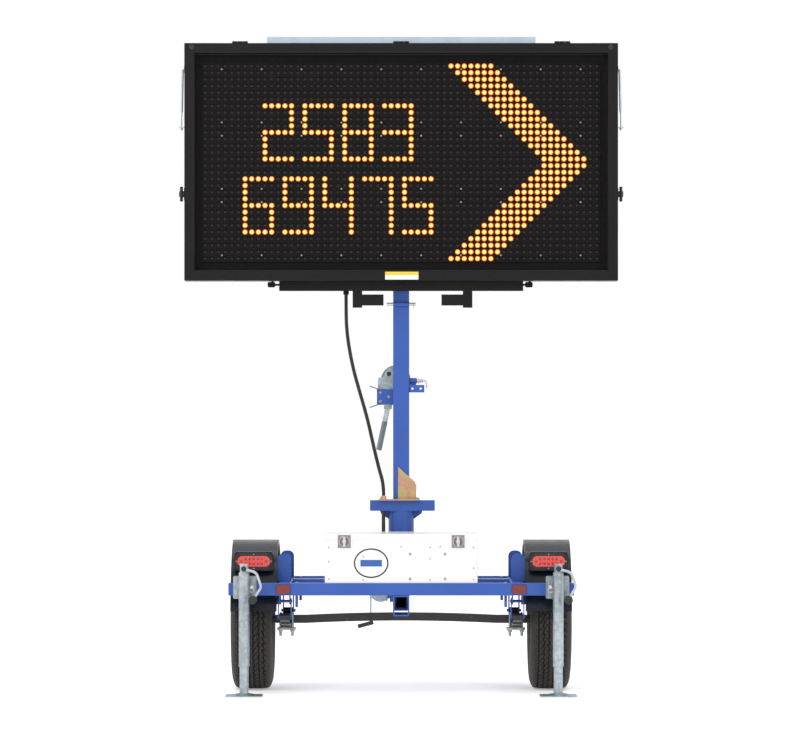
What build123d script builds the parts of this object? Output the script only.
"""Arrow board trailer: a solar message board on a rotating, telescoping mast over a small road trailer.

Millimetres. +Z is up, +Y is the towing direction, +X is the right-hand side seen from behind.
The pieces are laid out with Y = 0 on the axle line and Z = 0 on the road, and are moved together at the
end, so that the origin is the middle of the underside of the whole trailer's box.
"""

from build123d import *
import math
import os

# ---------------------------------------------------------------- fits and common stock
FLAT_GAP = 0.3  # between a round face and its neighbour on another body
PIN_FIT = 0.05  # radial clearance of a turning pin
MAST_FIT = 1.0  # each side, inner mast in outer mast
FRAME_TUBE = 60.0
FRAME_WALL = 4.0
SHEET = 3.0

# ---------------------------------------------------------------- running gear
AXLE_Z = 344.5
TYRE_RADIUS = 344.5
TYRE_WIDTH = 205.0
TYRE_WALL = 11.0
RIM_RADIUS = 190.5
RIM_WIDTH = 150.0
WHEEL_X = 732.0
AXLE_BEAM = 40.0
AXLE_BOW = 12.0
HUB_RADIUS = 48.0
SPINDLE_RADIUS = 19.0
SPRING_X = 567.0
SPRING_WIDTH = 44.0
SPRING_EYE_Y = 320.0
SPRING_EYE_Z = 372.0
SPRING_BOLT = 7.0
EYE_RADIUS = 16.0
LEAF = 7.0
LEAF_GAP = 0.2
SPRING_SEAT = 0.4  # between the axle beam and the curved top leaf
U_BOLT = 6.0
U_BOLT_GAP = 1.0
TIE_PLATE = 10.0
SHACKLE_LENGTH = 74.0
FENDER_RADIUS = 393.0
FENDER_X = (605.0, 830.0)
FENDER_HALF_ARC = 82.0
FENDER_LIP = 20.0

# ---------------------------------------------------------------- chassis
BEAM_Z = 510.0
BEAM_HALF = 835.0
REAR_BEAM_Y = -460.0
FRONT_BEAM_Y = 460.0
RAIL_X = 567.0
MAST_Y = 100.0
RECEIVER_WIDTH = 80.0
RECEIVER_HEIGHT = 100.0
RECEIVER_WALL = 7.0
RECEIVER_REAR_LENGTH = 250.0
RECEIVER_FRONT_START = 90.0
RECEIVER_FRONT_END = 560.0
TONGUE_FIT = 0.8
TONGUE_WALL = 6.0
TONGUE_END = 2060.0
COUPLER_LENGTH = 190.0
BALL_RADIUS = 25.4
POST_RADIUS = 63.5
POST_WALL = 8.0
POST_TOP = 930.0
BAR_X = (-155.0, 167.0)
BAR_DEPTH = 52.0
BAR_HALF_Y = 64.0
REFLECTOR = (66.0, 42.0, 8.0)
REFLECTOR_X = 570.0

# ---------------------------------------------------------------- battery box
BOX_HALF = 370.0
BOX_Y = (-478.0, -10.0)
LID_TOP = 777.0
LID_LIP = 25.0
LID_GAP = 0.5
LID_HINGE_RADIUS = 5.0
LATCH_X = 275.0
LATCH_Z = 741.0
LATCH_PLATE = 63.0
BATTERY = (168.0, 260.0, 188.0)
BATTERY_GAP = 4.0

# ---------------------------------------------------------------- corner jacks
JACK_X = 755.0
JACK_OUT = 95.0  # tube centre behind the beam's face
JACK_TUBE = 25.4
JACK_TUBE_WALL = 3.4
JACK_BOTTOM = 143.0
JACK_TOP = 595.0
JACK_HEAD = 38.0
JACK_NECK = 20.0
JACK_PIVOT_Z = 520.0
JACK_LEG = 21.5
JACK_FOOT = 89.0
JACK_FOOT_DISH = 9.0
JACK_LEG_TOP = 465.0
JACK_PLATE = (113.0, 110.0, 8.0)
JACK_BOSS = 29.0
JACK_PIN = 12.7
CRANK_ROD = 6.5
GRIP_RADIUS = 19.0
GRIP_LENGTH = 105.0

# ---------------------------------------------------------------- tongue jack, folded up along the tongue
TONGUE_JACK_X = -112.0
TONGUE_JACK_Z = 405.0
TONGUE_JACK_Y = (1440.0, 1790.0)
TONGUE_JACK_PIVOT_Y = 1600.0
TONGUE_JACK_FOOT = 58.0

# ---------------------------------------------------------------- mast
MAST_SIZE = 80.0
MAST_WALL = 6.0
MAST_CORNER = 8.0
MAST_TOP = 1974.0
MAST_BOTTOM = 600.0
INNER_BOTTOM = 1690.0
INNER_TOP = 3140.0
INNER_WALL = 5.0
FOOT_PLATE = 6.0
WINCH_Z = 1528.0
WINCH_X = -27.0
GEAR_RADIUS = 74.0
CHEEK_TOP = 1540.0
DRUM_RADIUS = 32.0
CRANK_PIVOT = (-66.0, 1400.0)
CRANK_END = (-112.0, 1178.0)
CRANK_GRIP = 14.0
PIN_Z = 1904.0
PIN_RADIUS = 8.0
PIN_REACH = 73.0
LATCH_PIN_Z = 1524.0

# ---------------------------------------------------------------- sign
SIGN_WIDTH = 2134.0
SIGN_HEIGHT = 1168.0
SIGN_BOTTOM = 2015.0
DOOR_FRONT = -130.0
DOOR_BACK = -70.0
CABINET_BACK = 30.0
FRAME_FACE = 50.0
CORNER_LEG = 124.0
CORNER_PROUD = 2.0
LED_RECESS = 45.0
LED_COLUMNS = 10
LED_ROWS = 3
LED_GAP = 1.0
LAMP_PITCH = 32.75  # lamps stand in a square grid
MODULE_DEPTH = 14.0
HINGE_X = 795.0
HINGE_LENGTH = 77.0
HINGE_RADIUS = 7.0
CHANNEL_HALF = 603.0
CHANNEL_HEIGHT = 47.0
CHANNEL_Y = (-42.0, 28.0)
PANEL_HALF = 663.0
PANEL_Y = (-60.0, 600.0)
PANEL_THICK = 35.0
PANEL_LIFT = 2.0
PROP_Z = (2768.0, 3062.0)
PROP_BRACKET = 6.0
PROP_RADIUS = 6.0
HANDLE_Z = 2445.0

# ---------------------------------------------------------------- conduit
CONDUIT_RADIUS = 9.5
GLAND_RADIUS = 14.0
GLAND_LENGTH = 18.0
CONDUIT_ROUTE = [
    (-273.0, 12.0, 1950.0),
    (-273.0, 12.0, 1885.0),
    (-271.0, 8.0, 1790.0),
    (-259.0, 4.0, 1690.0),
    (-236.0, 1.0, 1575.0),
    (-203.0, 0.0, 1460.0),
    (-167.0, 2.0, 1335.0),
    (-137.0, 6.0, 1200.0),
    (-111.0, 13.0, 1090.0),
    (-87.0, 24.0, 1010.0),
    (-87.0, 24.0, 954.0),
]

# ---------------------------------------------------------------- sizes that follow from the ones above
BEAM_BOTTOM = BEAM_Z - FRAME_TUBE / 2
BEAM_TOP = BEAM_Z + FRAME_TUBE / 2
BEAM_FACE = FRONT_BEAM_Y + FRAME_TUBE / 2
RECEIVER_Z = BEAM_BOTTOM - RECEIVER_HEIGHT / 2
TONGUE_WIDTH = RECEIVER_WIDTH - 2 * (RECEIVER_WALL + TONGUE_FIT)
TONGUE_HEIGHT = RECEIVER_HEIGHT - 2 * (RECEIVER_WALL + TONGUE_FIT)
COUPLER_TOP = RECEIVER_Z + TONGUE_HEIGHT / 2 + 4.3
SIGN_TOP = SIGN_BOTTOM + SIGN_HEIGHT
MAST_BACK = MAST_Y - MAST_SIZE / 2
MAST_FRONT = MAST_Y + MAST_SIZE / 2
MAST_BORE = MAST_SIZE - 2 * MAST_WALL
INNER_SIZE = MAST_BORE - 2 * MAST_FIT
LEAF_TOP = AXLE_Z - AXLE_BEAM / 2 - SPRING_SEAT
KEEPER_Y = MAST_BACK - PIN_RADIUS - 2.0
JACK_Y = BEAM_FACE + JACK_OUT
JACK_HUB_Z = JACK_TOP + JACK_HEAD / 2
OPEN_WIDTH = SIGN_WIDTH - 2 * FRAME_FACE
OPEN_HEIGHT = SIGN_HEIGHT - 2 * FRAME_FACE
BOX_TOP = LID_TOP - SHEET - LID_GAP
LID_HINGE = (BOX_Y[1] + 6.0, LID_TOP - LID_HINGE_RADIUS)
HINGE_Z = SIGN_TOP + HINGE_RADIUS + 1.0


# ---------------------------------------------------------------- shape helpers
def block(x, y, z):
    """A box from three (low, high) pairs."""
    size = [hi - lo for lo, hi in (x, y, z)]
    middle = [(hi + lo) / 2 for lo, hi in (x, y, z)]
    return Pos(*middle) * Box(*size)


def rod(start, end, radius):
    """A round bar between two points."""
    path = Vector(*end) - Vector(*start)
    return Solid.make_cylinder(radius, path.length, Plane(origin=start, z_dir=path))


def pipe(start, end, radius, bore):
    """A round tube between two points, cut a little past both ends."""
    path = (Vector(*end) - Vector(*start)).normalized()
    inner = rod(Vector(*start) - path, Vector(*end) + path, bore)
    return rod(start, end, radius) - inner


def section_plane(start, end):
    """A plane across a bar: its x runs along X, or along Y for a bar along X."""
    path = (Vector(*end) - Vector(*start)).normalized()
    across = (0, 1, 0) if abs(path.X) > 0.9 else (1, 0, 0)
    return Plane(origin=start, x_dir=across, z_dir=path)


def solid_bar(start, end, width, height, corner):
    plane = section_plane(start, end)
    length = (Vector(*end) - Vector(*start)).length
    return extrude(plane * RectangleRounded(width, height, corner), length)


def hollow_bar(start, end, width, height, wall, corner):
    """A rectangular tube; width lies along the plane's x, height across it."""
    inner_corner = max(corner - wall, 1.0)
    inner = solid_bar(start, end, width - 2 * wall, height - 2 * wall, inner_corner)
    return solid_bar(start, end, width, height, corner) - inner


def plate(points, axis, low, high):
    """A flat plate: an outline in the plane across the axis, from low to high along it."""
    place = {
        "X": lambda a, b: (low, a, b),
        "Y": lambda a, b: (a, low, b),
        "Z": lambda a, b: (a, b, low),
    }[axis]
    direction = {"X": (1, 0, 0), "Y": (0, 1, 0), "Z": (0, 0, 1)}[axis]
    outline = Polyline(*[place(a, b) for a, b in points], close=True)
    return extrude(make_face(outline), high - low, dir=direction)


def bent_rod(points, radius, bend):
    """A round bar along straight runs joined by arcs."""
    path = FilletPolyline(*points, radius=bend)
    section = Plane(origin=path @ 0, z_dir=path % 0) * Circle(radius)
    return sweep(section, path)


def turned(points, centre_x=0.0, centre_z=AXLE_Z, arc=360.0, start=0.0):
    """A solid of revolution about the axle line from (x, radius) points."""
    axis = Axis((0, 0, centre_z), (1, 0, 0))
    outline = Polyline(*[(centre_x + x, 0, centre_z + r) for x, r in points], close=True)
    face = make_face(outline)
    if start:
        face = face.rotate(axis, start)
    return revolve(face, axis, arc)


def both_sides(shape):
    return [shape, mirror(shape, Plane.YZ)]


def flatten(shapes):
    if not isinstance(shapes, (list, tuple)):
        shapes = [shapes]
    return [solid for shape in shapes for solid in shape.solids()]


# ---------------------------------------------------------------- chassis
def cross_beams():
    beams = []
    for y in (REAR_BEAM_Y, FRONT_BEAM_Y):
        ends = ((-BEAM_HALF, y, BEAM_Z), (BEAM_HALF, y, BEAM_Z))
        beams.append(hollow_bar(*ends, FRAME_TUBE, FRAME_TUBE, FRAME_WALL, 6))
    reach = RAIL_X - FRAME_TUBE / 2
    ends = ((-reach, MAST_Y, BEAM_Z), (reach, MAST_Y, BEAM_Z))
    beams.append(hollow_bar(*ends, 2 * FRAME_TUBE, FRAME_TUBE, FRAME_WALL, 6))
    return beams


def side_rails():
    back = REAR_BEAM_Y + FRAME_TUBE / 2
    front = FRONT_BEAM_Y - FRAME_TUBE / 2
    ends = ((RAIL_X, back, BEAM_Z), (RAIL_X, front, BEAM_Z))
    return both_sides(hollow_bar(*ends, FRAME_TUBE, FRAME_TUBE, FRAME_WALL, 6))


def receiver_tubes():
    back = REAR_BEAM_Y - FRAME_TUBE / 2
    size = (RECEIVER_WIDTH, RECEIVER_HEIGHT, RECEIVER_WALL, 11)
    rear = hollow_bar((0, back, RECEIVER_Z), (0, back + RECEIVER_REAR_LENGTH, RECEIVER_Z), *size)
    front = hollow_bar((0, RECEIVER_FRONT_START, RECEIVER_Z), (0, RECEIVER_FRONT_END, RECEIVER_Z), *size)
    return [rear, front]


def frame_brackets():
    """Rounded-top fender posts on the beams and the thin tie plates that hang inside the rails."""
    shapes = []
    low, high, width = BEAM_TOP, BEAM_TOP + 135.0, 68.0
    inner = RAIL_X - FRAME_TUBE / 2
    crown = 28.0
    for y in (-263.0, 257.0):
        body = block((inner, inner + width), (y, y + 6), (low, high))
        corners = body.edges().filter_by(Axis.Y).group_by(Axis.Z)[-1]
        shapes += both_sides(fillet(corners, crown))
    beam_inner = FRONT_BEAM_Y - FRAME_TUBE / 2
    for y in ((-beam_inner, -beam_inner + 90), (beam_inner - 90, beam_inner)):
        shapes += both_sides(block((501, 513), y, (BEAM_BOTTOM - 59, BEAM_TOP)))
    return shapes


def mast_post():
    """The round post, the cross bar welded to its top and the gussets on the crossmember."""
    axis_low = (0, MAST_Y, BEAM_TOP)
    post = rod(axis_low, (0, MAST_Y, POST_TOP), POST_RADIUS)
    bar = block(BAR_X, (MAST_Y - BAR_HALF_Y, MAST_Y + BAR_HALF_Y), (POST_TOP - BAR_DEPTH, POST_TOP))
    bar = fillet(bar.edges().filter_by(Axis.Z), 6)
    shape = post + bar
    ribs = [(POST_RADIUS - 4, POST_TOP - BAR_DEPTH), (POST_RADIUS + 42, POST_TOP - BAR_DEPTH)]
    ribs += [(POST_RADIUS + 38, POST_TOP - BAR_DEPTH - 14), (POST_RADIUS - 4, POST_TOP - BAR_DEPTH - 44)]
    low = [(POST_RADIUS - 4, BEAM_TOP), (POST_RADIUS + 70, BEAM_TOP), (POST_RADIUS - 4, BEAM_TOP + 110)]
    for outline in (ribs, low):
        for side in (-1, 1):
            points = [(side * x, z) for x, z in outline]
            shape += plate(points, "Y", MAST_Y - 4, MAST_Y + 4)
    bore = rod((0, MAST_Y, BEAM_TOP - 1), (0, MAST_Y, POST_TOP + 1), POST_RADIUS - POST_WALL)
    return shape - bore


def fenders():
    """Moulded arches with turned-down lips, and the flat-faced lamp housing moulded into the back."""
    lo, hi = FENDER_X
    outer, inner, lip = FENDER_RADIUS, FENDER_RADIUS - SHEET, FENDER_RADIUS - FENDER_LIP
    profile = [(lo, lip), (lo, outer), (hi, outer), (hi, lip)]
    profile += [(hi - SHEET, lip), (hi - SHEET, inner), (lo + SHEET, inner), (lo + SHEET, lip)]
    arch = turned(profile, arc=2 * FENDER_HALF_ARC, start=-FENDER_HALF_ARC)
    middle = (lo + hi) / 2
    housing = block((middle - 94, middle + 94), (-330, -150), (594, 686))
    housing = fillet(housing.edges().filter_by(Axis.Y), 12)
    hollow = rod((lo - 1, 0, AXLE_Z), (hi + 1, 0, AXLE_Z), inner + 1)
    return both_sides(arch + (housing - hollow))


def tail_lights():
    middle = sum(FENDER_X) / 2
    bezel = block((middle - 90, middle + 90), (-338, -330), (597, 683))
    bezel = fillet(bezel.edges().filter_by(Axis.Y), 36)
    window = block((middle - 78, middle + 78), (-339, -329), (615, 665))
    window = fillet(window.edges().filter_by(Axis.Y), 24.9)
    lens = block((middle - 80, middle + 80), (-342, -338), (614, 666))
    lens = fillet(lens.edges().filter_by(Axis.Y), 25.9)
    lens += fillet(block((middle - 77, middle + 77), (-338, -330), (616, 664)).edges().filter_by(Axis.Y), 23.9)
    return both_sides(bezel - window), both_sides(lens)


def reflectors():
    width, height, thick = REFLECTOR
    face = REAR_BEAM_Y - FRAME_TUBE / 2
    body = block((REFLECTOR_X - width / 2, REFLECTOR_X + width / 2), (face - thick, face), (0, height))
    body = Pos(0, 0, BEAM_Z - height / 2) * body
    return both_sides(fillet(body.edges().filter_by(Axis.Y), 3))


def battery_box():
    outer = block((-BOX_HALF, BOX_HALF), BOX_Y, (BEAM_TOP, BOX_TOP))
    outer = fillet(outer.edges().filter_by(Axis.Z), 8)
    inner_y = (BOX_Y[0] + SHEET, BOX_Y[1] - SHEET)
    inner = block((-BOX_HALF + SHEET, BOX_HALF - SHEET), inner_y, (BEAM_TOP + SHEET, BOX_TOP + 1))
    shape = outer - fillet(inner.edges().filter_by(Axis.Z), 5)
    hinge_y, hinge_z = LID_HINGE
    for x in lid_hinge_places():
        shape += block((x, x + 29), (BOX_Y[1] - 1, hinge_y), (hinge_z - 14, hinge_z - 1))
        shape += rod((x, hinge_y, hinge_z), (x + 29, hinge_y, hinge_z), LID_HINGE_RADIUS)
    return shape


def lid_hinge_places():
    """Left ends of the box's three hinge knuckles; the lid's are just right of them."""
    return (-BOX_HALF + 60.0, -30.0, BOX_HALF - 120.0)


def batteries():
    """Three batteries side by side at the left and the charge controller on the rear wall at the right."""
    width, depth, height = BATTERY
    floor = BEAM_TOP + SHEET
    shapes = []
    for i in range(3):
        x = -BOX_HALF + SHEET + BATTERY_GAP + i * (width + BATTERY_GAP)
        y = BOX_Y[1] - SHEET - BATTERY_GAP - depth
        body = block((x, x + width), (y, y + depth), (floor, floor + height - 14))
        case = fillet(body.edges().filter_by(Axis.Z), 5)
        for side in (0.22, 0.78):
            post = (x + side * width, y + 30, floor + height - 14)
            case += rod(post, (post[0], post[1], floor + height), 9)
        shapes.append(case)
    return shapes


def box_lid():
    """A shallow tray with lips on three sides, two tabs for the latches and a hinge leaf in front."""
    lo, hi = BOX_Y[0] - LID_GAP - SHEET, BOX_Y[1]
    half = BOX_HALF + LID_GAP + SHEET
    tray = block((-half, half), (lo, hi), (LID_TOP - LID_LIP, LID_TOP))
    tray = fillet(tray.edges().group_by(Axis.Z)[-1], 4)
    inner = block((-half + SHEET, half - SHEET), (lo + SHEET, hi + 1), (0, LID_TOP - SHEET))
    tray -= inner
    hinge_y, hinge_z = LID_HINGE
    for x in lid_hinge_places():
        tray += block((x + 30, x + 60), (hi - 1, hinge_y), (LID_TOP - SHEET, LID_TOP))
        tray += rod((x + 30, hinge_y, hinge_z), (x + 60, hinge_y, hinge_z), LID_HINGE_RADIUS)
    for x in (-LATCH_X, LATCH_X):
        tab = (x - LATCH_PLATE / 2 - 8, x + LATCH_PLATE / 2 + 8)
        tray += block(tab, (lo, lo + SHEET), (LATCH_Z - LATCH_PLATE / 2 - 8, LID_TOP - 6))
        plate_x = (x - LATCH_PLATE / 2, x + LATCH_PLATE / 2)
        plate_z = (LATCH_Z - LATCH_PLATE / 2, LATCH_Z + LATCH_PLATE / 2)
        tray += block(plate_x, (lo - 3, lo), plate_z)
        tray -= rod((x, lo - 10, LATCH_Z), (x, lo + 10, LATCH_Z), 9 + PIN_FIT)
    return tray


def box_latch(x):
    """A T-handle: a spindle through the lid tab, a cam behind it and a bar in front."""
    face = BOX_Y[0] - LID_GAP - SHEET - 3
    shape = rod((x, face - 10, LATCH_Z), (x, face + 5.5, LATCH_Z), 9)
    bar = block((x - 6, x + 6), (face - 14, face - 3), (LATCH_Z - 24, LATCH_Z + 24))
    return shape + fillet(bar.edges().filter_by(Axis.Y), 5)


def spring_hangers():
    """Front hanger cheeks, rear hangers with shackle plates, and the bolts through both."""
    shapes = []
    half = SPRING_WIDTH / 2 + FLAT_GAP
    cheek = 6.0
    bolt_half = half + cheek + 8
    top_z = SPRING_EYE_Z + SHACKLE_LENGTH
    for side in (-1, 1):
        for x in (side * SPRING_X - half - cheek, side * SPRING_X + half):
            front = [(SPRING_EYE_Y - 45, BEAM_BOTTOM), (SPRING_EYE_Y + 45, BEAM_BOTTOM)]
            front += [(SPRING_EYE_Y + 20, SPRING_EYE_Z - 20), (SPRING_EYE_Y - 20, SPRING_EYE_Z - 20)]
            hole = rod((x - 1, SPRING_EYE_Y, SPRING_EYE_Z), (x + cheek + 1, SPRING_EYE_Y, SPRING_EYE_Z), SPRING_BOLT)
            shapes.append(plate(front, "X", x, x + cheek) - hole)
            y = -SPRING_EYE_Y
            rear = [(y - 30, BEAM_BOTTOM), (y + 30, BEAM_BOTTOM), (y + 18, top_z - 16), (y - 18, top_z - 16)]
            hole = rod((x - 1, y, top_z), (x + cheek + 1, y, top_z), SPRING_BOLT)
            shapes.append(plate(rear, "X", x, x + cheek) - hole)
            out = x - 5 if x < side * SPRING_X else x + cheek
            link = SlotOverall(SHACKLE_LENGTH + 30, 30, rotation=90)
            link = extrude(Plane((out, y, (top_z + SPRING_EYE_Z) / 2), x_dir=(0, 1, 0), z_dir=(1, 0, 0)) * link, 5)
            for z in (top_z, SPRING_EYE_Z):
                link -= rod((out - 1, y, z), (out + 6, y, z), SPRING_BOLT)
            shapes.append(link)
        for y, z in ((SPRING_EYE_Y, SPRING_EYE_Z), (-SPRING_EYE_Y, top_z), (-SPRING_EYE_Y, SPRING_EYE_Z)):
            mid = side * SPRING_X
            shapes.append(rod((mid - bolt_half, y, z), (mid + bolt_half, y, z), SPRING_BOLT))
    return shapes


def jack_place(name):
    """Side, facing and tube centre of one corner jack; facing is -1 behind the trailer, 1 in front."""
    side = -1 if "left" in name else 1
    facing = -1 if "rear" in name else 1
    return side, facing, side * JACK_X, facing * JACK_Y


def jack_mounts():
    """Four plates on the beams, each with the hollow boss that a jack swivels on."""
    shapes = []
    width, height, thick = JACK_PLATE
    for x in (-JACK_X, JACK_X):
        for facing in (-1, 1):
            face = facing * BEAM_FACE
            ys = sorted((face, face + facing * thick))
            body = block((x - width / 2, x + width / 2), ys, (JACK_PIVOT_Z - height / 2, JACK_PIVOT_Z + height / 2))
            body = fillet(body.edges().filter_by(Axis.Y), 8)
            start = (x, face + facing * thick, JACK_PIVOT_Z)
            end = (x, face + facing * (thick + 45), JACK_PIVOT_Z)
            body += rod(start, end, JACK_BOSS)
            bore = rod((x, face, JACK_PIVOT_Z), (x, end[1] + facing, JACK_PIVOT_Z), JACK_PIN + PIN_FIT)
            shapes.append(body - bore)
    return shapes


def corner_jack_tube(name):
    """Swivel plate with its pivot pin, the outer tube and the gear head on top."""
    _, facing, x, y = jack_place(name)
    width, height, thick = JACK_PLATE
    seat = facing * (BEAM_FACE + thick + 45)
    ys = sorted((seat, seat + facing * thick))
    plate_z = (JACK_PIVOT_Z - height / 2 + 6, JACK_PIVOT_Z + height / 2 - 6)
    body = block((x - width / 2 + 6, x + width / 2 - 6), ys, plate_z)
    body = fillet(body.edges().filter_by(Axis.Y), 12)
    ys = sorted((seat, y))
    body += block((x - 16, x + 16), ys, (JACK_PIVOT_Z - 46, JACK_PIVOT_Z + 46))
    body += rod((x, y, JACK_BOTTOM), (x, y, JACK_TOP), JACK_TUBE)
    body += rod((x, y, JACK_TOP - 12), (x, y, JACK_TOP + JACK_HEAD), JACK_NECK)
    hub_end = y + facing * (JACK_TUBE + 9)
    body += rod((x, y, JACK_HUB_Z), (x, hub_end, JACK_HUB_Z), 14)
    bore_top = JACK_TOP - 14
    body -= rod((x, y, JACK_BOTTOM - 1), (x, y, bore_top), JACK_TUBE - JACK_TUBE_WALL)
    body += rod((x, seat + facing * 6, JACK_PIVOT_Z), (x, seat - facing * 42, JACK_PIVOT_Z), JACK_PIN)
    body -= rod((x, y, JACK_BOTTOM - 1), (x, y, bore_top), JACK_TUBE - JACK_TUBE_WALL)
    shaft_start = (x, hub_end - facing * 18, JACK_HUB_Z)
    return body - rod(shaft_start, (x, hub_end + facing, JACK_HUB_Z), 8 + PIN_FIT)


def corner_jack_leg(name):
    """The inner tube and its dished square foot."""
    _, _, x, y = jack_place(name)
    leg = pipe((x, y, 8), (x, y, JACK_LEG_TOP), JACK_LEG, JACK_LEG - 3)
    pad = Pos(x, y, 3) * Box(2 * JACK_FOOT, 2 * JACK_FOOT, 6)
    pad = fillet(pad.edges().filter_by(Axis.Z), 22)
    dish = Solid.make_cone(JACK_FOOT - 10, JACK_LEG + 8, JACK_FOOT_DISH, Plane((x, y, 6)))
    return pad + dish + leg


def corner_jack_crank(name):
    """Bent crank rod and its grip, which points away from the trailer."""
    _, facing, x, y = jack_place(name)
    sweep_side = -facing
    base = y + facing * (JACK_TUBE + 9)
    plane_y = base + facing * (CRANK_ROD + 1.5)
    route = [(0, 0), (60, -18), (84, -88), (45, -147)]
    points = [(x + sweep_side * dx, plane_y, JACK_HUB_Z + dz) for dx, dz in route]
    arm = bent_rod(points, CRANK_ROD, 28)
    hub = rod((x, base - facing * 17, JACK_HUB_Z), (x, base, JACK_HUB_Z), 8)
    hub += rod((x, base, JACK_HUB_Z), (x, plane_y + facing * 8, JACK_HUB_Z), 13)
    tip = points[-1]
    grip = rod((tip[0], plane_y - facing * 6, tip[2]), (tip[0], plane_y + facing * GRIP_LENGTH, tip[2]), GRIP_RADIUS)
    grip = fillet(grip.edges(), 5)
    return arm + hub + grip


def tongue_tube():
    """The square tongue, inside the front receiver, with its bolt and the tongue jack's mount."""
    width, height = TONGUE_WIDTH, TONGUE_HEIGHT
    start = (0, RECEIVER_FRONT_START + 30, RECEIVER_Z)
    body = hollow_bar(start, (0, TONGUE_END, RECEIVER_Z), width, height, TONGUE_WALL, 4)
    boss_end = TONGUE_JACK_X + JACK_TUBE + 14
    pivot = (TONGUE_JACK_PIVOT_Y, TONGUE_JACK_Z)
    body += block((boss_end + 12, -width / 2 + 1), (pivot[0] - 50, pivot[0] + 50), (pivot[1] - 45, pivot[1] + 45))
    boss = rod((boss_end, *pivot), (-width / 2 + 1, *pivot), JACK_BOSS)
    return body + boss - rod((boss_end - 1, *pivot), (-width / 2 - 2, *pivot), JACK_PIN + PIN_FIT)


def coupler():
    """Pressed ball coupler with a shallow socket under its nose."""
    half = TONGUE_WIDTH / 2 + 4
    back = TONGUE_END - 60
    nose = TONGUE_END + COUPLER_LENGTH - 45
    top, low = COUPLER_TOP, RECEIVER_Z - 30
    outline = [(-half, back), (half, back), (half, nose - 60), (38, nose), (-38, nose), (-half, nose - 60)]
    body = plate(outline, "Z", low, top)
    inner = TONGUE_WIDTH / 2 + 0.3
    body -= block((-inner, inner), (back - 1, TONGUE_END + 0.3), (low - 1, top - 4))
    ball = (0, nose - 42, low + 22)
    body += rod((0, nose - 42, low), (0, nose - 42, top), BALL_RADIUS + 13)
    body -= Pos(*ball) * Sphere(BALL_RADIUS + 0.6)
    body -= rod((0, nose - 42, low - 1), (0, nose - 42, low + 22), BALL_RADIUS + 0.6)
    ears = [block((x - 3, x + 3), (TONGUE_END + 5, TONGUE_END + 45), (top - 2, top + 30)) for x in (-20, 20)]
    for ear in ears:
        body += ear
    return body - rod((-30, TONGUE_END + 25, top + 18), (30, TONGUE_END + 25, top + 18), 5 + PIN_FIT)


def coupler_latch():
    top = COUPLER_TOP
    pivot = (TONGUE_END + 25, top + 18)
    body = rod((-24, *pivot), (24, *pivot), 5)
    body += block((-15, 15), (pivot[0] - 10, pivot[0] + 10), (pivot[1] - 10, pivot[1] + 8))
    lever = [(pivot[0] - 8, pivot[1] + 8), (pivot[0] + 8, pivot[1] + 2), (pivot[0] - 70, pivot[1] + 14)]
    lever += [(pivot[0] - 105, pivot[1] + 6), (pivot[0] - 105, pivot[1] + 13), (pivot[0] - 70, pivot[1] + 22)]
    return body + plate(lever, "X", -14, 14)


def tongue_jack_tube():
    """Lies along the tongue; the gear head is at the rear end, with a side shaft."""
    x, z = TONGUE_JACK_X, TONGUE_JACK_Z
    back, front = TONGUE_JACK_Y
    body = rod((x, back, z), (x, front, z), JACK_TUBE)
    body += block((x - 30, x + 30), (back - 10, back + 40), (z - 26, z + 26))
    body += rod((x - 30, back + 15, z), (x - 44, back + 15, z), 13)
    seat = x + JACK_TUBE + 14
    pivot = (TONGUE_JACK_PIVOT_Y, z)
    body += block((seat - 8, seat), (pivot[0] - 45, pivot[0] + 45), (z - 42, z + 42))
    body += block((x, seat), (pivot[0] - 40, pivot[0] + 40), (z - 14, z + 14))
    body += rod((seat - 4, *pivot), (seat + 20, *pivot), JACK_PIN)
    body -= rod((x, back + 45, z), (x, front + 1, z), JACK_TUBE - JACK_TUBE_WALL)
    return body - rod((x - 45, back + 15, z), (x - 28, back + 15, z), 7 + PIN_FIT)


def tongue_jack_leg():
    x, z = TONGUE_JACK_X, TONGUE_JACK_Z
    back, front = TONGUE_JACK_Y
    leg = pipe((x, back + 60, z), (x, front + 55, z), JACK_LEG, JACK_LEG - 3)
    pad = rod((x, front + 52, z), (x, front + 58, z), TONGUE_JACK_FOOT)
    dish = Solid.make_cone(TONGUE_JACK_FOOT - 16, JACK_LEG + 5, 18, Plane((x, front + 52, z), z_dir=(0, -1, 0)))
    return leg + pad + dish


def tongue_jack_crank():
    """A thin arm on the side shaft, hanging down, with its grip tilted out to the left."""
    x, z = TONGUE_JACK_X - 44, TONGUE_JACK_Z
    y = TONGUE_JACK_Y[0] + 15
    low = z - 152
    body = rod((x + 15, y, z), (x, y, z), 7) + rod((x, y, z), (x - 12, y, z), 13)
    body += rod((x - 6, y, z), (x - 6, y, low), 5)
    grip = rod((x + 8, y, low + 3), (x - 74, y, low - 19), 11)
    return body + fillet(grip.edges(), 4)


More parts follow.
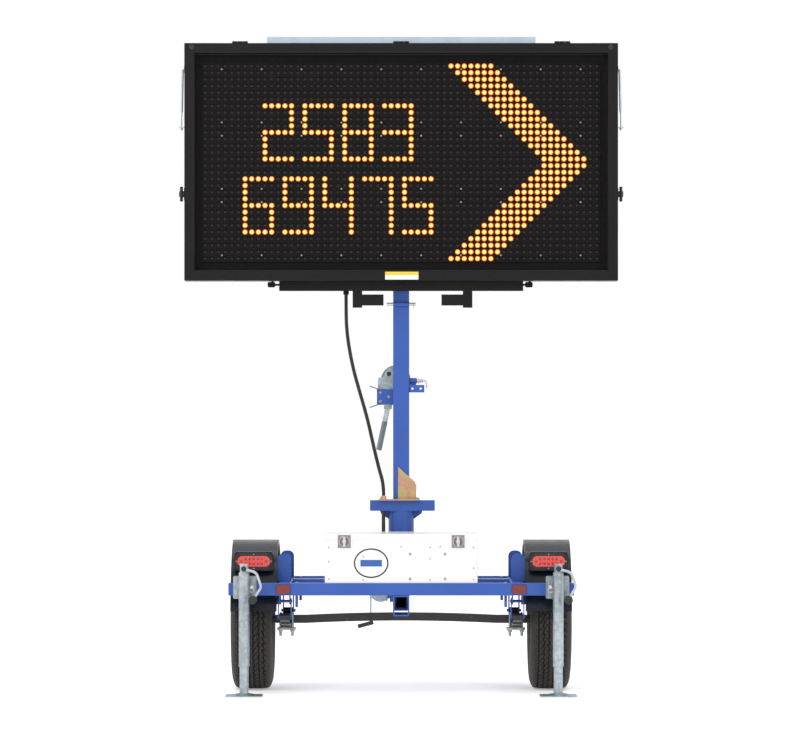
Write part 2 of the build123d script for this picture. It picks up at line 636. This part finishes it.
# ---------------------------------------------------------------- axle and wheels
def axle_beam():
    """A square beam bowed up a little in the middle, with a round spindle at each end."""
    half = WHEEL_X - 112.0
    low, size = AXLE_Z - AXLE_BEAM / 2, AXLE_BEAM
    lower = ThreePointArc((-half + 150, -20, low), (0, -20, low + AXLE_BOW), (half - 150, -20, low))
    upper = ThreePointArc((half - 150, -20, low + size), (0, -20, low + size + AXLE_BOW), (-half + 150, -20, low + size))
    ends = [Line(lower @ 1, (half, -20, low)), Line((half, -20, low), (half, -20, low + size))]
    ends += [Line((half, -20, low + size), upper @ 0), Line(upper @ 1, (-half, -20, low + size))]
    ends += [Line((-half, -20, low + size), (-half, -20, low)), Line((-half, -20, low), lower @ 0)]
    beam = extrude(make_face([lower, upper] + ends), size, dir=(0, 1, 0))
    for side in (-1, 1):
        beam += rod((side * (half - 2), 0, AXLE_Z), (side * (WHEEL_X + 12), 0, AXLE_Z), SPINDLE_RADIUS)
    return beam


def leaf(top, reach, eye):
    """One curved leaf of a spring in the YZ plane, hung from the height of the main leaf's eyes."""
    drop = SPRING_EYE_Z - EYE_RADIUS + 4 - LEAF_TOP
    radius = (SPRING_EYE_Y**2 + drop**2) / (2 * drop)
    centre_z = LEAF_TOP + radius
    outer = centre_z - top + LEAF
    low_x = SPRING_X - SPRING_WIDTH / 2
    angle = math.degrees(math.asin(reach / outer))
    ring = Cylinder(outer, SPRING_WIDTH) - Cylinder(outer - LEAF, SPRING_WIDTH)
    ring = Pos(SPRING_X, 0, centre_z) * Rot(0, 90, 0) * ring
    window = block((low_x, low_x + SPRING_WIDTH), (-reach, reach), (LEAF_TOP - 60, SPRING_EYE_Z))
    shape = ring & window
    if eye:
        for y in (-SPRING_EYE_Y, SPRING_EYE_Y):
            ends = ((low_x, y, SPRING_EYE_Z), (low_x + SPRING_WIDTH, y, SPRING_EYE_Z))
            shape += rod(*ends, EYE_RADIUS)
            shape -= rod((ends[0][0] - 1, y, SPRING_EYE_Z), (ends[1][0] + 1, y, SPRING_EYE_Z), SPRING_BOLT + PIN_FIT)
    return shape


def leaf_springs():
    shapes = []
    step = LEAF + LEAF_GAP
    for i, reach in enumerate((SPRING_EYE_Y, 235.0, 145.0)):
        shapes += both_sides(leaf(LEAF_TOP - i * step, reach, i == 0))
    return shapes


def u_bolts():
    """Two bolts over the axle beam at each spring, through a tie plate under the leaves."""
    shapes = []
    pack = LEAF_TOP - 3 * LEAF - 2 * LEAF_GAP
    leg_x, leg_y = SPRING_WIDTH / 2 + U_BOLT + 1.5, AXLE_BEAM / 2 + U_BOLT + U_BOLT_GAP
    top = AXLE_Z + AXLE_BEAM / 2 + U_BOLT + U_BOLT_GAP
    for side in (-1, 1):
        mid = side * SPRING_X
        tie = block((mid - 46, mid + 46), (-46, 46), (pack - TIE_PLATE - 1, pack - 1))
        tie = fillet(tie.edges().filter_by(Axis.Z), 8)
        tie += block((mid - 12, mid + 12), (-12, 12), (pack - 1, pack))
        for x in (mid - leg_x, mid + leg_x):
            points = [(x, -leg_y, pack - 42), (x, -leg_y, top), (x, leg_y, top), (x, leg_y, pack - 42)]
            tie += bent_rod(points, U_BOLT, 9)
            for y in (-leg_y, leg_y):
                low = pack - TIE_PLATE - 1
                tie += extrude(Plane((x, y, low - 10)) * RegularPolygon(10.5, 6), 10)
        shapes.append(tie)
    return shapes


def tyre(side):
    """A hollow tyre: rounded shoulders, bulged walls and a bead on each side."""
    half = TYRE_WIDTH / 2
    wall = TYRE_WALL
    shoulder = TYRE_RADIUS - 18
    outside = [(-66, RIM_RADIUS - 2), (-82, RIM_RADIUS + 14), (-half, RIM_RADIUS + 66), (-half + 6, RIM_RADIUS + 105)]
    outside += [(-half + 16, shoulder), (-half + 34, TYRE_RADIUS)]
    inside = [(-half + 38, TYRE_RADIUS - wall), (-half + 28, shoulder - wall), (-half + wall, RIM_RADIUS + 66)]
    inside += [(-74, RIM_RADIUS + 20), (-58, RIM_RADIUS - 2)]
    profile = outside + [(-x, r) for x, r in reversed(outside)]
    profile += [(-x, r) for x, r in reversed(inside)] + inside
    return turned(profile, centre_x=side * WHEEL_X)


def rim(side):
    """Pressed steel rim, its disc, the hub with its grease cap and five wheel nuts."""
    half, edge = RIM_WIDTH / 2, RIM_RADIUS + 8
    seat, drop, skin = RIM_RADIUS - 3, RIM_RADIUS - 26, 4.0
    outside = [(-half - 4, edge), (-half - 4, seat + 1), (-half + 22, seat), (-half + 40, drop), (half - 52, drop)]
    outside += [(half - 30, seat), (half + 4, seat + 1), (half + 4, edge)]
    inside = [(half + 8, edge), (half + 8, seat - skin), (half - 32, seat - skin), (half - 54, drop - skin)]
    inside += [(-half + 38, drop - skin), (-half + 20, seat - skin), (-half - 8, seat - skin), (-half - 8, edge)]
    mirror_x = [(side * x, r) for x, r in outside + inside]
    shape = turned(mirror_x, centre_x=side * WHEEL_X)
    disc = [(0, 30), (0, 96), (-14, 128), (-10, drop - 1), (-4, drop - 1), (-8, 126), (7, 94), (7, 30)]
    shape += turned([(side * x, r) for x, r in disc], centre_x=side * WHEEL_X)
    x0 = side * WHEEL_X
    shape += pipe((x0 - side * 78, 0, AXLE_Z), (x0 + side * 26, 0, AXLE_Z), HUB_RADIUS, SPINDLE_RADIUS + PIN_FIT)
    shape += rod((x0 + side * 14, 0, AXLE_Z), (x0 + side * 52, 0, AXLE_Z), 27)
    for i in range(5):
        angle = math.radians(90 + 72 * i)
        y, z = 57.0 * math.cos(angle), AXLE_Z + 57.0 * math.sin(angle)
        shape += rod((x0 + side * 5, y, z), (x0 + side * 24, y, z), 10)
    return shape


# ---------------------------------------------------------------- mast
def outer_mast():
    body = hollow_bar((0, MAST_Y, MAST_BOTTOM), (0, MAST_Y, MAST_TOP), MAST_SIZE, MAST_SIZE, MAST_WALL, MAST_CORNER)
    collar = hollow_bar((0, MAST_Y, MAST_TOP - 4), (0, MAST_Y, MAST_TOP), 84, 84, 8, 8)
    keeper = rod((-MAST_SIZE / 2, KEEPER_Y, PIN_Z), (MAST_SIZE / 2, KEEPER_Y, PIN_Z), PIN_RADIUS + 3)
    body += collar + keeper
    body -= rod((-60, KEEPER_Y, PIN_Z), (60, KEEPER_Y, PIN_Z), PIN_RADIUS + PIN_FIT)
    arm = block((MAST_SIZE / 2, 115), (MAST_Y - 30, MAST_Y + 26), (1466, 1503))
    arm = fillet(arm.edges().filter_by(Axis.Z), 5)
    for x in (56, 97):
        arm -= rod((x, MAST_Y - 40, 1485), (x, MAST_Y + 40, 1485), 5.8)
    holder = pipe((MAST_SIZE / 2, MAST_Y, LATCH_PIN_Z), (78, MAST_Y, LATCH_PIN_Z), 14, 8 + PIN_FIT)
    holder += block((44, 74), (MAST_Y - 9, MAST_Y + 9), (1503, LATCH_PIN_Z - 12))
    return body + arm + holder + winch_bracket()


def mast_foot():
    """Turntable plate on the post's bar and the two upright gussets beside the mast."""
    half = MAST_SIZE / 2
    base = block((-112, 92), (MAST_Y - 92, MAST_Y + 70), (POST_TOP, POST_TOP + FOOT_PLATE))
    base = fillet(base.edges().filter_by(Axis.Z), 10)
    base -= block((-half, half), (MAST_BACK, MAST_FRONT), (POST_TOP - 1, POST_TOP + FOOT_PLATE + 1))
    z0 = POST_TOP + FOOT_PLATE
    outline = [(-16, z0), (75, z0), (70, 1018), (35, 1051), (-16, 1097)]
    base += plate(outline, "Y", MAST_BACK - 5, MAST_BACK)
    base += plate(outline, "Y", MAST_FRONT, MAST_FRONT + 5)
    base += plate([(MAST_BACK - 5, z0), (MAST_FRONT + 5, z0), (MAST_FRONT + 5, 1010), (MAST_BACK - 5, 1010)], "X", 70, 75)
    gland = (CONDUIT_ROUTE[-1][0], CONDUIT_ROUTE[-1][1])
    return base + rod((*gland, z0), (*gland, CONDUIT_ROUTE[-1][2]), GLAND_RADIUS)


def winch_frame():
    """Two cheek plates on a floor, the spacer between them and the crank's bearing block."""
    back, front = MAST_FRONT, MAST_FRONT + 78
    shape = block((-116, 40), (back, back + 6), (1404, CHEEK_TOP)) + block((-116, 40), (front - 6, front), (1404, CHEEK_TOP))
    shape += block((-116, 40), (back, front), (1404, 1414))
    shape += rod((-110, back, CHEEK_TOP - 8), (-110, front, CHEEK_TOP - 8), 4)
    shape -= rod((WINCH_X, back - 1, WINCH_Z), (WINCH_X, front + 1, WINCH_Z), 10 + PIN_FIT)
    x, z = CRANK_PIVOT
    shape += block((x - 20, x + 20), (back, front), (z - 16, z + 8))
    return shape - rod((x, back + 20, z - 4), (x, front + 1, z - 4), 8 + PIN_FIT)


def winch_bracket():
    """Plate welded to the mast's left side, with a lip splayed up and another splayed down."""
    low, high = 1407, 1482
    shape = block((-121, -MAST_SIZE / 2), (MAST_FRONT - 18, MAST_FRONT - 12), (low, high))
    for z, splay in ((low, -1), (high, 1)):
        lip = [(-112, z), (-119, z), (-158, z + splay * 14), (-156, z + splay * 18), (-119, z + splay * 5)]
        shape += plate(lip + [(-112, z + splay * 3)], "Y", MAST_FRONT - 46, MAST_FRONT)
    return shape


def winch_drum():
    """Drum on its shaft, with the large gear at the front and the wound cable between the flanges."""
    back = MAST_FRONT + 7
    front = MAST_FRONT + 71
    shape = rod((WINCH_X, back - 6, WINCH_Z), (WINCH_X, front + 7, WINCH_Z), 10)
    shape += rod((WINCH_X, back + 1, WINCH_Z), (WINCH_X, front - 1, WINCH_Z), DRUM_RADIUS)
    shape += rod((WINCH_X, back + 1, WINCH_Z), (WINCH_X, back + 5, WINCH_Z), GEAR_RADIUS - 8)
    shape += rod((WINCH_X, front - 9, WINCH_Z), (WINCH_X, front - 1, WINCH_Z), GEAR_RADIUS)
    return shape


def winch_crank():
    """Flat crank arm, hanging down and to the left, with its grip in line."""
    x, z = CRANK_PIVOT[0], CRANK_PIVOT[1] - 4
    face = MAST_FRONT + 78
    arm_y = face + CRANK_GRIP + 4
    pivot, end = Vector(x, arm_y, z), Vector(CRANK_END[0], arm_y, CRANK_END[1])
    path = (end - pivot).normalized()
    split = pivot + path * ((end - pivot).length - 146)
    plane = Plane(origin=pivot - path * 14, x_dir=(0, 1, 0), z_dir=path)
    arm = extrude(plane * Rectangle(7, 26), (split - pivot).length + 30)
    shape = arm + rod((x, face - 40, z), (x, arm_y, z), 8) + rod((x, arm_y, z), (x, arm_y + 12, z), 12)
    grip = rod(split, end, CRANK_GRIP)
    return shape + fillet(grip.edges(), 4)


def safety_pin():
    """A lock pin parked in the keeper tube, with a pull ring through its right-hand end."""
    y = KEEPER_Y
    pin = chamfer(rod((-PIN_REACH, y, PIN_Z), (PIN_REACH, y, PIN_Z), PIN_RADIUS).edges(), 2)
    return pin + Pos(PIN_REACH - 12, y, PIN_Z - 10) * Rot(0, 90, 0) * Torus(10, 2)


def travel_latch():
    """Spring plunger: a round pin with a bent pull at its outer end."""
    z = LATCH_PIN_Z
    shape = rod((MAST_SIZE / 2 + 1, MAST_Y, z), (108, MAST_Y, z), 8)
    shape += bent_rod([(100, MAST_Y, z), (124, MAST_Y, z), (130, MAST_Y, z - 38)], 4, 8)
    return shape + rod((84, MAST_Y, z), (88, MAST_Y, z), 13)


# ---------------------------------------------------------------- sign
def inner_mast():
    """The sliding tube and the two saddle brackets that carry the cabinet's back."""
    size = INNER_SIZE
    body = hollow_bar((0, MAST_Y, INNER_BOTTOM), (0, MAST_Y, INNER_TOP), size, size, INNER_WALL, MAST_CORNER - MAST_WALL + 2)
    face = MAST_Y - size / 2
    for z in (2800, 3060):
        body += block((-170, 170), (CABINET_BACK, CABINET_BACK + 6), (z, z + 60))
        body += block((-40, 40), (CABINET_BACK, face + 1), (z, z + 60))
    return body


def sign_carrier():
    """Channel under the cabinet, the two hooks below it, the thumb knobs and the conduit's gland."""
    top, low = SIGN_BOTTOM, SIGN_BOTTOM - CHANNEL_HEIGHT
    body = block((-CHANNEL_HALF, CHANNEL_HALF), CHANNEL_Y, (low, top))
    inner = block((-CHANNEL_HALF - 1, CHANNEL_HALF + 1), (CHANNEL_Y[0] + 5, CHANNEL_Y[1] - 5), (low - 1, top - 5))
    body -= inner
    hook_y = (-41, -9)
    for middle, side in ((56.0, -1), (56.0, 1)):
        tab = sorted((middle + side * 249, middle + side * 296))
        foot = sorted((middle + side * 143, middle + side * 250))
        body += block(tab, hook_y, (1884, top - 4))
        body += block(foot, hook_y, (1895, 1949)) - block(foot, (hook_y[0] + 5, hook_y[1] + 5), (1900, 1950))
    body += rod((0, CHANNEL_Y[0] - 6, low + 26), (0, CHANNEL_Y[0] + 4, low + 26), 11)
    for side in (-1, 1):
        x = side * (CHANNEL_HALF + 34)
        body += block(sorted((side * (CHANNEL_HALF - 4), x)), (-12, 2), (top - 22, top - 12))
        wing = block((x - 24, x + 14), (-10, 0), (top - 30, top - 3))
        body += fillet(wing.edges().filter_by(Axis.Y), 8)
        body += rod((x, -5, top - 8), (x, -5, top), 6)
    start = CONDUIT_ROUTE[0]
    pad = block((start[0] - 18, start[0] + 18), (start[1] - 16, start[1] + 16), (low, low + 5))
    return body + pad + rod(start, (start[0], start[1], low + 1), GLAND_RADIUS)


def cabinet():
    """Five-sided sheet case, open to the door, with stiffening ribs inside its back."""
    half = SIGN_WIDTH / 2
    outer = block((-half, half), (DOOR_BACK, CABINET_BACK), (SIGN_BOTTOM, SIGN_TOP))
    outer = fillet(outer.edges().group_by(Axis.Y)[-1], 6)
    inner_x, inner_z = (-half + SHEET, half - SHEET), (SIGN_BOTTOM + SHEET, SIGN_TOP - SHEET)
    shape = outer - block(inner_x, (DOOR_BACK - 1, CABINET_BACK - SHEET), inner_z)
    for x in (-HINGE_X, 0, HINGE_X):
        leaf_x = (x - HINGE_LENGTH / 2 + 26, x + HINGE_LENGTH / 2 - 26)
        shape += block(leaf_x, (DOOR_BACK, DOOR_BACK + 34), (SIGN_TOP, SIGN_TOP + 2))
        shape += rod((leaf_x[0], DOOR_BACK, HINGE_Z), (leaf_x[1], DOOR_BACK, HINGE_Z), HINGE_RADIUS)
    for side in (-1, 1):
        x = sorted((side * half, side * (half + PROP_BRACKET)))
        shape += block(x, (DOOR_BACK + 30, DOOR_BACK + 62), (PROP_Z[1] - 16, PROP_Z[1] + 16))
        ends = (side * half, DOOR_BACK + 46, PROP_Z[1]), (side * (half + PROP_BRACKET + 1), DOOR_BACK + 46, PROP_Z[1])
        shape -= rod(*ends, 5 + PIN_FIT)
        x = sorted((side * half, side * (half + 6)))
        shape += block(x, (DOOR_BACK + 16, DOOR_BACK + 56), (HANDLE_Z - 30, HANDLE_Z + 30))
        ends = (side * (half - SHEET - 1), DOOR_BACK + 36, HANDLE_Z), (side * (half + 7), DOOR_BACK + 36, HANDLE_Z)
        shape -= rod(*ends, 8 + PIN_FIT)
    return shape


def door_frame():
    """The hinged display frame, its proud corner pieces and the hinge knuckles on top."""
    half = SIGN_WIDTH / 2
    front, back = DOOR_FRONT + CORNER_PROUD, DOOR_BACK - FLAT_GAP
    body = block((-half, half), (front, back), (SIGN_BOTTOM, SIGN_TOP))
    skin = 3.0
    wide, high = OPEN_WIDTH / 2, (SIGN_BOTTOM + FRAME_FACE, SIGN_TOP - FRAME_FACE)
    hollow = block((skin - half, half - skin), (front + skin, back + 1), (SIGN_BOTTOM + skin, SIGN_TOP - skin))
    hollow -= block((-wide - skin, wide + skin), (front, back + 2), (high[0] - skin, high[1] + skin))
    body -= block((-wide, wide), (front - 1, back + 1), high) + hollow
    width = FRAME_FACE - 2
    for sx in (-1, 1):
        for sz, z in ((1, SIGN_BOTTOM), (-1, SIGN_TOP)):
            corner = [(half, 0), (half - CORNER_LEG, 0), (half - CORNER_LEG, width), (half - width, width)]
            corner += [(half - width, CORNER_LEG), (half, CORNER_LEG)]
            points = [(sx * a, z + sz * b) for a, b in corner]
            body += plate(points, "Y", DOOR_FRONT, front)
    for x in (-HINGE_X, 0, HINGE_X):
        for lo, hi in ((-HINGE_LENGTH / 2, -HINGE_LENGTH / 2 + 25), (HINGE_LENGTH / 2 - 25, HINGE_LENGTH / 2)):
            body += rod((x + lo, DOOR_BACK, HINGE_Z), (x + hi, DOOR_BACK, HINGE_Z), HINGE_RADIUS)
            strap = block((x + lo, x + hi), (DOOR_BACK - 40, DOOR_BACK - 4), (SIGN_TOP, SIGN_TOP + 4))
            body += strap + block((x + lo, x + hi), (DOOR_BACK - 9, DOOR_BACK - 3), (SIGN_TOP, HINGE_Z + 2))
    return body


def led_board():
    """Back sheet and, in its middle, a grid of display modules of 6 x 10 lamps each."""
    front = DOOR_FRONT + LED_RECESS
    back = front + MODULE_DEPTH
    z0 = SIGN_BOTTOM + FRAME_FACE
    shapes = [block((-OPEN_WIDTH / 2, OPEN_WIDTH / 2), (back, DOOR_BACK - FLAT_GAP), (z0, z0 + OPEN_HEIGHT))]
    pitch_x, pitch_z = 6 * LAMP_PITCH, 10 * LAMP_PITCH
    low = z0 + (OPEN_HEIGHT - LED_ROWS * pitch_z) / 2
    for i in range(LED_COLUMNS):
        for j in range(LED_ROWS):
            x = (i - LED_COLUMNS / 2) * pitch_x
            z = low + j * pitch_z
            span_x = (x + LED_GAP / 2, x + pitch_x - LED_GAP / 2)
            shapes.append(block(span_x, (front, back), (z + LED_GAP / 2, z + pitch_z - LED_GAP / 2)))
    return shapes


def solar_panel():
    """Framed panel over the cabinet and mast, on two rails fixed to the cabinet's back."""
    low = SIGN_TOP + PANEL_LIFT
    body = block((-PANEL_HALF, PANEL_HALF), PANEL_Y, (low, low + PANEL_THICK))
    well = block((-PANEL_HALF + 12, PANEL_HALF - 12), (PANEL_Y[0] + 12, PANEL_Y[1] - 12), (low + PANEL_THICK - 4, low + 99))
    under = block((-PANEL_HALF + 3, PANEL_HALF - 3), (PANEL_Y[0] + 3, PANEL_Y[1] - 3), (low - 1, low + PANEL_THICK - 12))
    body -= well + under
    for side in (-1, 1):
        x = sorted((side * 390, side * 430))
        body += block(x, (CABINET_BACK, PANEL_Y[1] - 3), (SIGN_TOP - 44, low + PANEL_THICK - 11))
        brace = [(CABINET_BACK, SIGN_TOP - 300), (CABINET_BACK + 30, SIGN_TOP - 300)]
        brace += [(420, SIGN_TOP - 44), (380, SIGN_TOP - 44)]
        body += plate(brace, "X", x[0], x[0] + 6)
        feet = block((x[0], x[1]), (PANEL_Y[0] + 12, CABINET_BACK + 1), (SIGN_TOP, low + PANEL_THICK - 11))
        body += feet
    return body


def prop(side):
    """A gas stay on the cabinet's side: pivot at the top, cylinder, thin rod, and a ball and stud at the foot."""
    half = SIGN_WIDTH / 2
    y = DOOR_BACK + 46
    low, high = PROP_Z
    top = Vector(side * (half + PROP_BRACKET + PROP_RADIUS + 1.5), y, high)
    foot = Vector(side * (half + 20), y, low)
    middle = top + (foot - top) * 0.72
    shape = rod((side * (half + 1), y, high), (top.X, y, high), 5) + rod(top, middle, PROP_RADIUS)
    shape += rod(middle, foot, 3.5) + Pos(*foot) * Sphere(8)
    return shape + rod((side * (half + 1), y, low + 7), (side * (half + 33), y, low + 7), 3.5)


def side_handle(side):
    """T-handle of a side latch."""
    half = SIGN_WIDTH / 2
    y = DOOR_BACK + 36
    middle = side * (half + 19)
    shape = rod((side * (half - SHEET), y, HANDLE_Z), (middle, y, HANDLE_Z), 8)
    neck = Solid.make_cone(16, 9, 9, Plane(origin=(side * (half + 6 + FLAT_GAP), y, HANDLE_Z), z_dir=(side, 0, 0)))
    bar = rod((middle, y, HANDLE_Z - 37), (middle, y, HANDLE_Z + 37), 7.5)
    bulge = rod((middle, y, HANDLE_Z - 17), (middle, y, HANDLE_Z + 17), 12)
    return shape + neck + fillet(bar.edges(), 3) + fillet(bulge.edges(), 8)


# ---------------------------------------------------------------- conduits
def bend_radii(points):
    """The largest arc at each corner of the route: 0.45 of its shorter run over tan(half the turn)."""
    vectors = [Vector(*p) for p in points]
    radii = []
    for a, b, c in zip(vectors, vectors[1:], vectors[2:]):
        turn = math.radians((b - a).get_angle(c - b))
        radii.append(0.45 * min((b - a).length, (c - b).length) / math.tan(turn / 2))
    return radii


def conduit():
    """The corrugated conduit's outer shape, from the gland under the sign to the one on the mast's foot."""
    radii = bend_radii(CONDUIT_ROUTE)
    path = FilletPolyline(*CONDUIT_ROUTE, radius=radii)
    section = Plane(origin=path @ 0, z_dir=path % 0) * Circle(CONDUIT_RADIUS)
    tube = sweep(section, path)
    print("conduit radii", [round(r) for r in radii])
    print("conduit length", round(path.length, 1))
    print("conduit volume ratio", round(tube.volume / (path.length * math.pi * CONDUIT_RADIUS**2), 5))
    return tube


def lower_conduit():
    """Rigid plastic elbow from the underside of the post's bar to the battery box's front wall."""
    x, y = -88.0, MAST_Y - 46.0
    points = [(x, y, POST_TOP - BAR_DEPTH), (x, y, 655.0), (x, BOX_Y[1], 655.0)]
    return bent_rod(points, CONDUIT_RADIUS, 45)


# ---------------------------------------------------------------- assembly
CORNERS = ("rear_left", "rear_right", "front_left", "front_right")


def build():
    bezels, lenses = tail_lights()
    nodes = {
        "cross_beams": cross_beams(),
        "side_rails": side_rails(),
        "receiver_tubes": receiver_tubes(),
        "frame_brackets": frame_brackets(),
        "mast_post": mast_post(),
        "fenders": fenders(),
        "tail_light_bezels": bezels,
        "tail_light_lenses": lenses,
        "reflectors": reflectors(),
        "battery_box": battery_box(),
        "batteries": batteries(),
        "box_lid": box_lid(),
        "spring_hangers": spring_hangers(),
        "jack_mounts": jack_mounts(),
        "tongue_tube": tongue_tube(),
        "coupler": coupler(),
        "coupler_latch": coupler_latch(),
        "tongue_jack_tube": tongue_jack_tube(),
        "tongue_jack_leg": tongue_jack_leg(),
        "tongue_jack_crank": tongue_jack_crank(),
        "axle_beam": axle_beam(),
        "leaf_springs": leaf_springs(),
        "u_bolts": u_bolts(),
        "outer_mast": outer_mast(),
        "mast_foot": mast_foot(),
        "winch_frame": winch_frame(),
        "winch_drum": winch_drum(),
        "winch_crank": winch_crank(),
        "safety_pin": safety_pin(),
        "travel_latch": travel_latch(),
        "inner_mast": inner_mast(),
        "sign_carrier": sign_carrier(),
        "cabinet": cabinet(),
        "door_frame": door_frame(),
        "led_board": led_board(),
        "solar_panel": solar_panel(),
        "conduit": conduit(),
        "lower_conduit": lower_conduit(),
    }
    for name, side in (("left", -1), ("right", 1)):
        nodes[f"tyre_{name}"] = tyre(side)
        nodes[f"rim_{name}"] = rim(side)
        nodes[f"prop_{name}"] = prop(side)
        nodes[f"side_handle_{name}"] = side_handle(side)
        nodes[f"box_latch_{name}"] = box_latch(side * LATCH_X)
    for corner in CORNERS:
        nodes[f"jack_tube_{corner}"] = corner_jack_tube(corner)
        nodes[f"jack_leg_{corner}"] = corner_jack_leg(corner)
        nodes[f"jack_crank_{corner}"] = corner_jack_crank(corner)
    return {name: flatten(shapes) for name, shapes in nodes.items()}


def origin_of(nodes):
    """Middle of the underside of the whole trailer's box."""
    boxes = [solid.bounding_box() for name, solids in nodes.items() if name != "conduit" for solid in solids]
    low = Vector(*[min(getattr(box.min, axis) for box in boxes) for axis in "XYZ"])
    high = Vector(*[max(getattr(box.max, axis) for box in boxes) for axis in "XYZ"])
    return Vector((low.X + high.X) / 2, (low.Y + high.Y) / 2, low.Z)


NODES = build()
ORIGIN = origin_of(NODES)
print("origin", [round(v, 3) for v in ORIGIN])
os.makedirs("parts", exist_ok=True)
for node, solids in NODES.items():
    moved = [Pos(*(-ORIGIN)) * solid for solid in solids]
    shape = moved[0] if len(moved) == 1 else Compound(children=moved)
    export_step(shape, f"parts/{node}.step")
